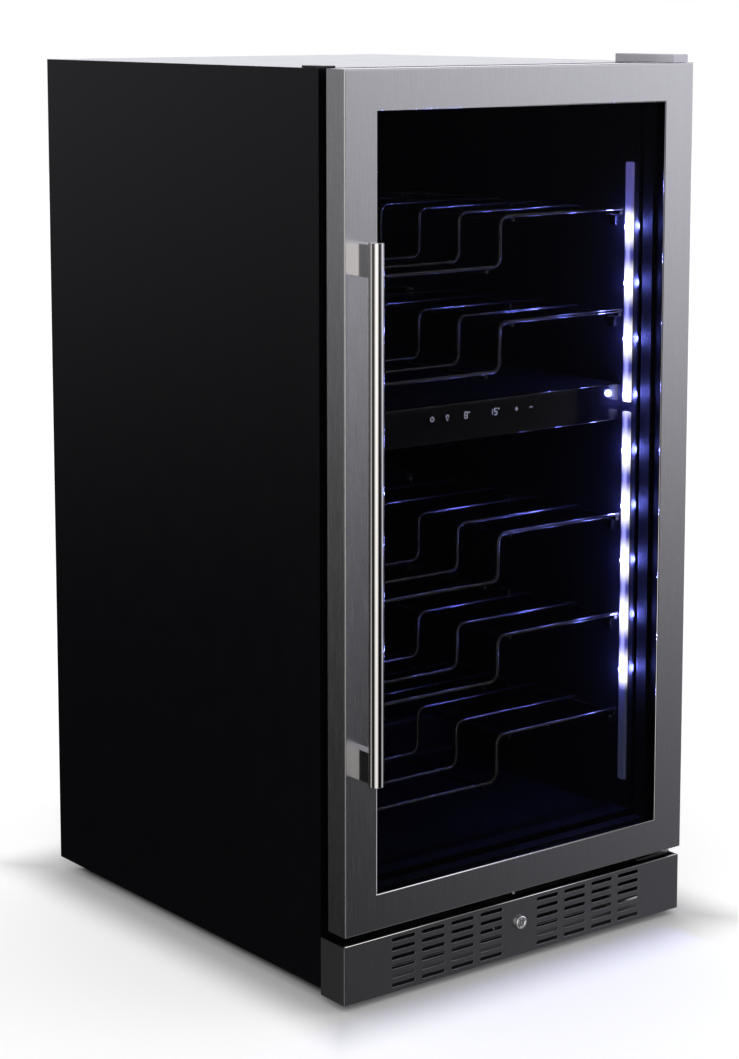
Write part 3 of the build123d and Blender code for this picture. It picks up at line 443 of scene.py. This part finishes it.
# ---- materials of the CAD nodes -----------------------------------------------------------
def make_materials():
    """One finished material for each slot of the record, and one for the lit signs."""
    enamel("cabinet_black", (0.0028, 0.0028, 0.004), roughness=0.20, Specular_IOR_Level=0.3)
    enamel("rear_sheet", (0.03, 0.03, 0.032), roughness=0.5)
    metal("galvanised", (0.55, 0.56, 0.57), roughness=0.42, scale=60)
    moulded("liner_black", (0.0028, 0.003, 0.0055), roughness=0.42, grain=300, depth=0.00001,
            Specular_IOR_Level=0.35)
    moulded("cover_black", (0.004, 0.004, 0.005), roughness=0.42)
    moulded("foam", (0.82, 0.74, 0.52), roughness=0.9, grain=400, depth=0.0002)
    # door steel: painted shade darkens it towards the floor
    brushed("door_steel", (0.45, 0.445, 0.455), (0.56, 0.555, 0.57), roughness=0.25,
            painted_floor_shade=(0.22, 0.215, 0.225), Anisotropic=0.4)
    # kick plate: the door's steel in a much darker tone, painted shade for the dark surroundings it mirrors
    brushed("kick_steel", (0.13, 0.127, 0.134), (0.18, 0.176, 0.186), roughness=0.34, grain=(1, 1, 0.6),
            scale=1100)
    brushed("handle_steel", (0.58, 0.57, 0.57), (0.70, 0.69, 0.69), roughness=0.11)
    moulded("door_black", (0.004, 0.004, 0.005), roughness=0.4)
    tinted_glass("glass_tint", (0.002, 0.002, 0.003), alpha=0.16)
    moulded("gasket", (0.006, 0.006, 0.0065), roughness=0.6, grain=500)
    metal("spacer", (0.03, 0.03, 0.032), roughness=0.4)
    enamel("shelf_wire", (0.004, 0.004, 0.005), roughness=0.16, Specular_IOR_Level=1.0)
    metal("clip_metal", (0.75, 0.75, 0.77), roughness=0.18)
    moulded("panel_gloss", (0.003, 0.003, 0.004), roughness=0.1, grain=200, depth=0.000004)
    moulded("lens_gloss", (0.002, 0.002, 0.003), roughness=0.06, grain=150, depth=0.000002)
    lit_strip("light_strip", (0.03, 0.03, 0.16), (0.22, 0.22, 0.44), strength=3.2)
    glowing("lamp", (0.90, 0.92, 1.0), strength=9.0)
    glowing("display_glow", (0.72, 0.74, 1.0), strength=0.9)
    moulded("hinge_cover", (0.60, 0.60, 0.68), roughness=0.3)
    moulded("nylon", (0.82, 0.82, 0.80), roughness=0.45)
    metal("zinc", (0.66, 0.66, 0.68), roughness=0.28)
    metal("lock_chrome", (0.82, 0.82, 0.83), roughness=0.1)
    enamel("bracket_black", (0.006, 0.006, 0.006), roughness=0.35)
    moulded("fan_black", (0.007, 0.007, 0.007), roughness=0.4)
    enamel("motor", (0.08, 0.08, 0.085), roughness=0.4)
    enamel("compressor", (0.008, 0.008, 0.008), roughness=0.22)
    moulded("rubber_black", (0.012, 0.012, 0.012), roughness=0.7)
    moulded("foot_black", (0.01, 0.01, 0.01), roughness=0.5)
    metal("coil_fin", (0.7, 0.71, 0.72), roughness=0.35)
    metal("copper", (0.80, 0.42, 0.27), roughness=0.25)
    moulded("tray_grey", (0.16, 0.17, 0.18), roughness=0.5)
    moulded("inlet_black", (0.007, 0.007, 0.007), roughness=0.4)


def dress_nodes():
    """Give every CAD node the material of its slot."""
    slots = {entry["node"]: entry["material_slot"] for entry in frame["record"]["subparts"]}
    for name, node in frame["nodes"].items():
        material = materials[slots[name]]
        if not node.material_slots:
            node.data.materials.append(material)
        for slot in node.material_slots:
            slot.material = material
        for polygon in node.data.polygons:
            polygon.material_index = 0


# ---- light inside the cabinet -------------------------------------------------------------
def make_lamp_light():
    """Bluish light from each lamp of the strip, just off the wall."""
    low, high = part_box("lamp_lenses")
    for index in range(LAMP_COUNT):
        name = f"lamp_light_{index}"
        data = bpy.data.lights.new(name, "POINT")
        data.energy = LAMP_POWER
        data.color = LAMP_LIGHT
        data.shadow_soft_size = LAMP_LIGHT_RADIUS
        light = add_to_scene(name, data)
        light.location = (low.x - LAMP_STAND_OFF, (low.y + high.y) / 2, LAMP_TOP - LAMP_PITCH * index)


# ---- building pieces ----------------------------------------------------------------------
def finish_piece(name, shape, slot, body, look=None, smooth=True):
    """Turn a bmesh into a piece riding on a body, in its slot's material or the one that look names."""
    bmesh.ops.recalc_face_normals(shape, faces=shape.faces)
    mesh = bpy.data.meshes.new(name)
    shape.to_mesh(mesh)
    shape.free()
    mesh.materials.append(materials[look or slot])
    for polygon in mesh.polygons:
        polygon.use_smooth = smooth
    piece = add_to_scene(name, mesh)
    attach(piece, body)


def skin_rings(shape, rings, closed_path=True, closed_ring=False):
    """Skin a list of equal rings of points, as a loop or an open run."""
    grid = [[shape.verts.new(point) for point in ring] for ring in rings]
    last = len(grid) if closed_path else len(grid) - 1
    for i in range(last):
        here, there = grid[i], grid[(i + 1) % len(grid)]
        count = len(here) if closed_ring else len(here) - 1
        for j in range(count):
            k = (j + 1) % len(here)
            shape.faces.new((here[j], here[k], there[k], there[j]))
    return grid


def half_round(radius, steps=6):
    """(out, back) points of a half round that starts at a front edge and ends behind it."""
    angles = [math.pi * step / steps for step in range(steps + 1)]
    return [(radius * math.sin(angle), radius * (1 - math.cos(angle))) for angle in angles]


def make_glass_lip():
    """Rolled steel edge round the door's opening, in front of the glass."""
    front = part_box("door_frame")[0].y
    profile = half_round(LIP_RADIUS)
    low_corners = [(-1, 1, OPENING_LOW), (1, 1, OPENING_LOW)]
    high_corners = [(1, -1, OPENING_HIGH), (-1, -1, OPENING_HIGH)]
    rings = []
    for side, inwards, z in low_corners + high_corners:
        rings.append([(side * (OPENING_HALF - out), front + back, z + inwards * out)
                      for out, back in profile])
    shape = bmesh.new()
    skin_rings(shape, rings)
    finish_piece("glass_lip", shape, "handle_steel", "door")


def make_kick_lip():
    """Polished top edge of the kick plate."""
    low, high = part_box("kick_plate")
    profile = half_round(KICK_LIP_RADIUS)
    ends = (low.x + KICK_LIP_INSET, high.x - KICK_LIP_INSET)
    rings = [[(x, low.y + back, high.z + out) for out, back in profile] for x in ends]
    shape = bmesh.new()
    for end in skin_rings(shape, rings, closed_path=False):
        shape.faces.new(end)
    finish_piece("kick_lip", shape, "handle_steel", "root")


def slot_rim(shape, x, z, front, profile):
    """Rolled edge round one slot with round ends."""
    end_radius = SLOT_HEIGHT / 2
    rings = []
    for step in range(SLOT_SIDES):
        angle = 2 * math.pi * (step + 0.5) / SLOT_SIDES
        end = x + math.copysign(SLOT_LENGTH / 2 - end_radius, math.cos(angle))
        rings.append([(end + (end_radius - out) * math.cos(angle), front + back,
                       z + (end_radius - out) * math.sin(angle)) for out, back in profile])
    skin_rings(shape, rings)


def make_slot_rims():
    """Fine rolled edge round every slot of the kick plate."""
    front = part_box("kick_plate")[0].y
    profile = half_round(SLOT_RIM_RADIUS, steps=4)
    shape = bmesh.new()
    for side in (-1, 1):
        for column in range(1, SLOT_COLUMNS + 1):
            for row in range(SLOT_ROWS):
                z = SLOT_MIDDLE + (row - (SLOT_ROWS - 1) / 2) * SLOT_PITCH_Z
                slot_rim(shape, side * column * SLOT_PITCH_X, z, front, profile)
    finish_piece("slot_rims", shape, "kick_steel", "root")


def dome(shape, wall, z):
    """Low clear dome standing on the wall at +X."""
    turns = [2 * math.pi * side / DOME_SIDES for side in range(DOME_SIDES)]
    rings = []
    for step in range(DOME_RINGS):
        lift = math.pi / 2 * step / (DOME_RINGS - 1)
        radius = max(DOME_RADIUS * math.cos(lift), DOME_TIP_RADIUS)
        rings.append([(wall - DOME_HEIGHT * math.sin(lift), STRIP_Y + radius * math.cos(turn),
                       z + radius * math.sin(turn)) for turn in turns])
    skin_rings(shape, rings, closed_path=False, closed_ring=True)


def make_lamp_domes():
    """Clear dome over each lamp of the strip."""
    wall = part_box("lamp_lenses")[1].x
    shape = bmesh.new()
    for index in range(LAMP_COUNT):
        dome(shape, wall, LAMP_TOP - LAMP_PITCH * index)
    finish_piece("lamp_domes", shape, "lamp", "root")


# ---- lit signs, drawn in millimetres as (x, z) --------------------------------------------
def stroke(shape, start, end, width=STROKE_WIDTH):
    """Flat printed stroke between two points, with its back at y = 0."""
    along = Vector((end[0] - start[0], end[1] - start[1]))
    across = Vector((-along.y, along.x)).normalized() * width / 2
    ring = [(start[0] + across.x, start[1] + across.y), (start[0] - across.x, start[1] - across.y),
            (end[0] - across.x, end[1] - across.y), (end[0] + across.x, end[1] + across.y)]
    front = [shape.verts.new((x * MM, -PRINT_DEPTH * MM, z * MM)) for x, z in ring]
    back = [shape.verts.new((x * MM, 0, z * MM)) for x, z in ring]
    shape.faces.new(front)
    for i in range(4):
        j = (i + 1) % 4
        shape.faces.new((front[i], front[j], back[j], back[i]))


def arc(shape, centre, radius, start, end, width, steps=10):
    """Arc of strokes between two angles in degrees."""
    angles = [math.radians(start + (end - start) * step / steps) for step in range(steps + 1)]
    points = [(centre[0] + radius * math.cos(angle), centre[1] + radius * math.sin(angle))
              for angle in angles]
    for here, there in zip(points, points[1:]):
        stroke(shape, here, there, width)


def power_sign(shape, x, z):
    """Open ring with a bar in its gap."""
    arc(shape, (x, z), radius=3.0, start=125, end=415, width=STROKE_WIDTH)
    stroke(shape, (x, z + 1), (x, z + 4.2))


def light_sign(shape, x, z):
    """Bulb: an open ring over two short bars."""
    arc(shape, (x, z + 1), radius=2.4, start=-50, end=230, width=0.7)
    stroke(shape, (x - 1.2, z - 2.4), (x + 1.2, z - 2.4))
    stroke(shape, (x - 1, z - 3.8), (x + 1, z - 3.8))


def degree_sign(shape, x, z):
    """Small ring at the top right of a digit."""
    arc(shape, (x + 5.4, z + 3.6), radius=0.9, start=0, end=360, width=0.5, steps=8)


def digit(shape, lit, x, z):
    """Seven-segment digit; lit names its bars: t, m, b, and the sides ul, ur, ll, lr."""
    w, h, gap = DIGIT_HALF_WIDTH, DIGIT_HALF_HEIGHT, DIGIT_GAP
    bars = {"t": ((-w, h), (w, h)), "m": ((-w, 0), (w, 0)), "b": ((-w, -h), (w, -h)),
            "ul": ((-w, gap), (-w, h - gap)), "ur": ((w, gap), (w, h - gap)),
            "ll": ((-w, gap - h), (-w, -gap)), "lr": ((w, gap - h), (w, -gap))}
    for bar in lit.split():
        (x0, z0), (x1, z1) = bars[bar]
        stroke(shape, (x + x0, z + z0), (x + x1, z + z1), DIGIT_WIDTH)


def make_display():
    """Lit signs of the control panel: power, light, both temperatures, plus and minus."""
    low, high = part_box("control_lens")
    z = (low.z + high.z) / 2 / MM
    shape = bmesh.new()
    power_sign(shape, POWER_X, z)
    light_sign(shape, LIGHT_X, z)
    digit(shape, "t m b ul ur ll lr", UPPER_DIGIT_X, z)
    degree_sign(shape, UPPER_DIGIT_X, z)
    digit(shape, "ur lr", LOWER_TENS_X, z)
    digit(shape, "t ul m lr b", LOWER_UNITS_X, z)
    degree_sign(shape, LOWER_UNITS_X, z)
    stroke(shape, (PLUS_X - SIGN_HALF, z), (PLUS_X + SIGN_HALF, z))
    stroke(shape, (PLUS_X, z - SIGN_HALF), (PLUS_X, z + SIGN_HALF))
    stroke(shape, (MINUS_X - SIGN_HALF, z), (MINUS_X + SIGN_HALF, z))
    bmesh.ops.translate(shape, verts=shape.verts, vec=(0, low.y - PRINT_STAND_OFF * MM, 0))
    finish_piece("display_signs", shape, "lamp", "root", look="display_glow", smooth=False)


# ---- the scene ----------------------------------------------------------------------------
make_camera()
make_world()
make_floor()
make_materials()
dress_nodes()
make_lamp_light()
make_kick_lip()
make_slot_rims()
make_lamp_domes()
make_display()
make_glass_lip()
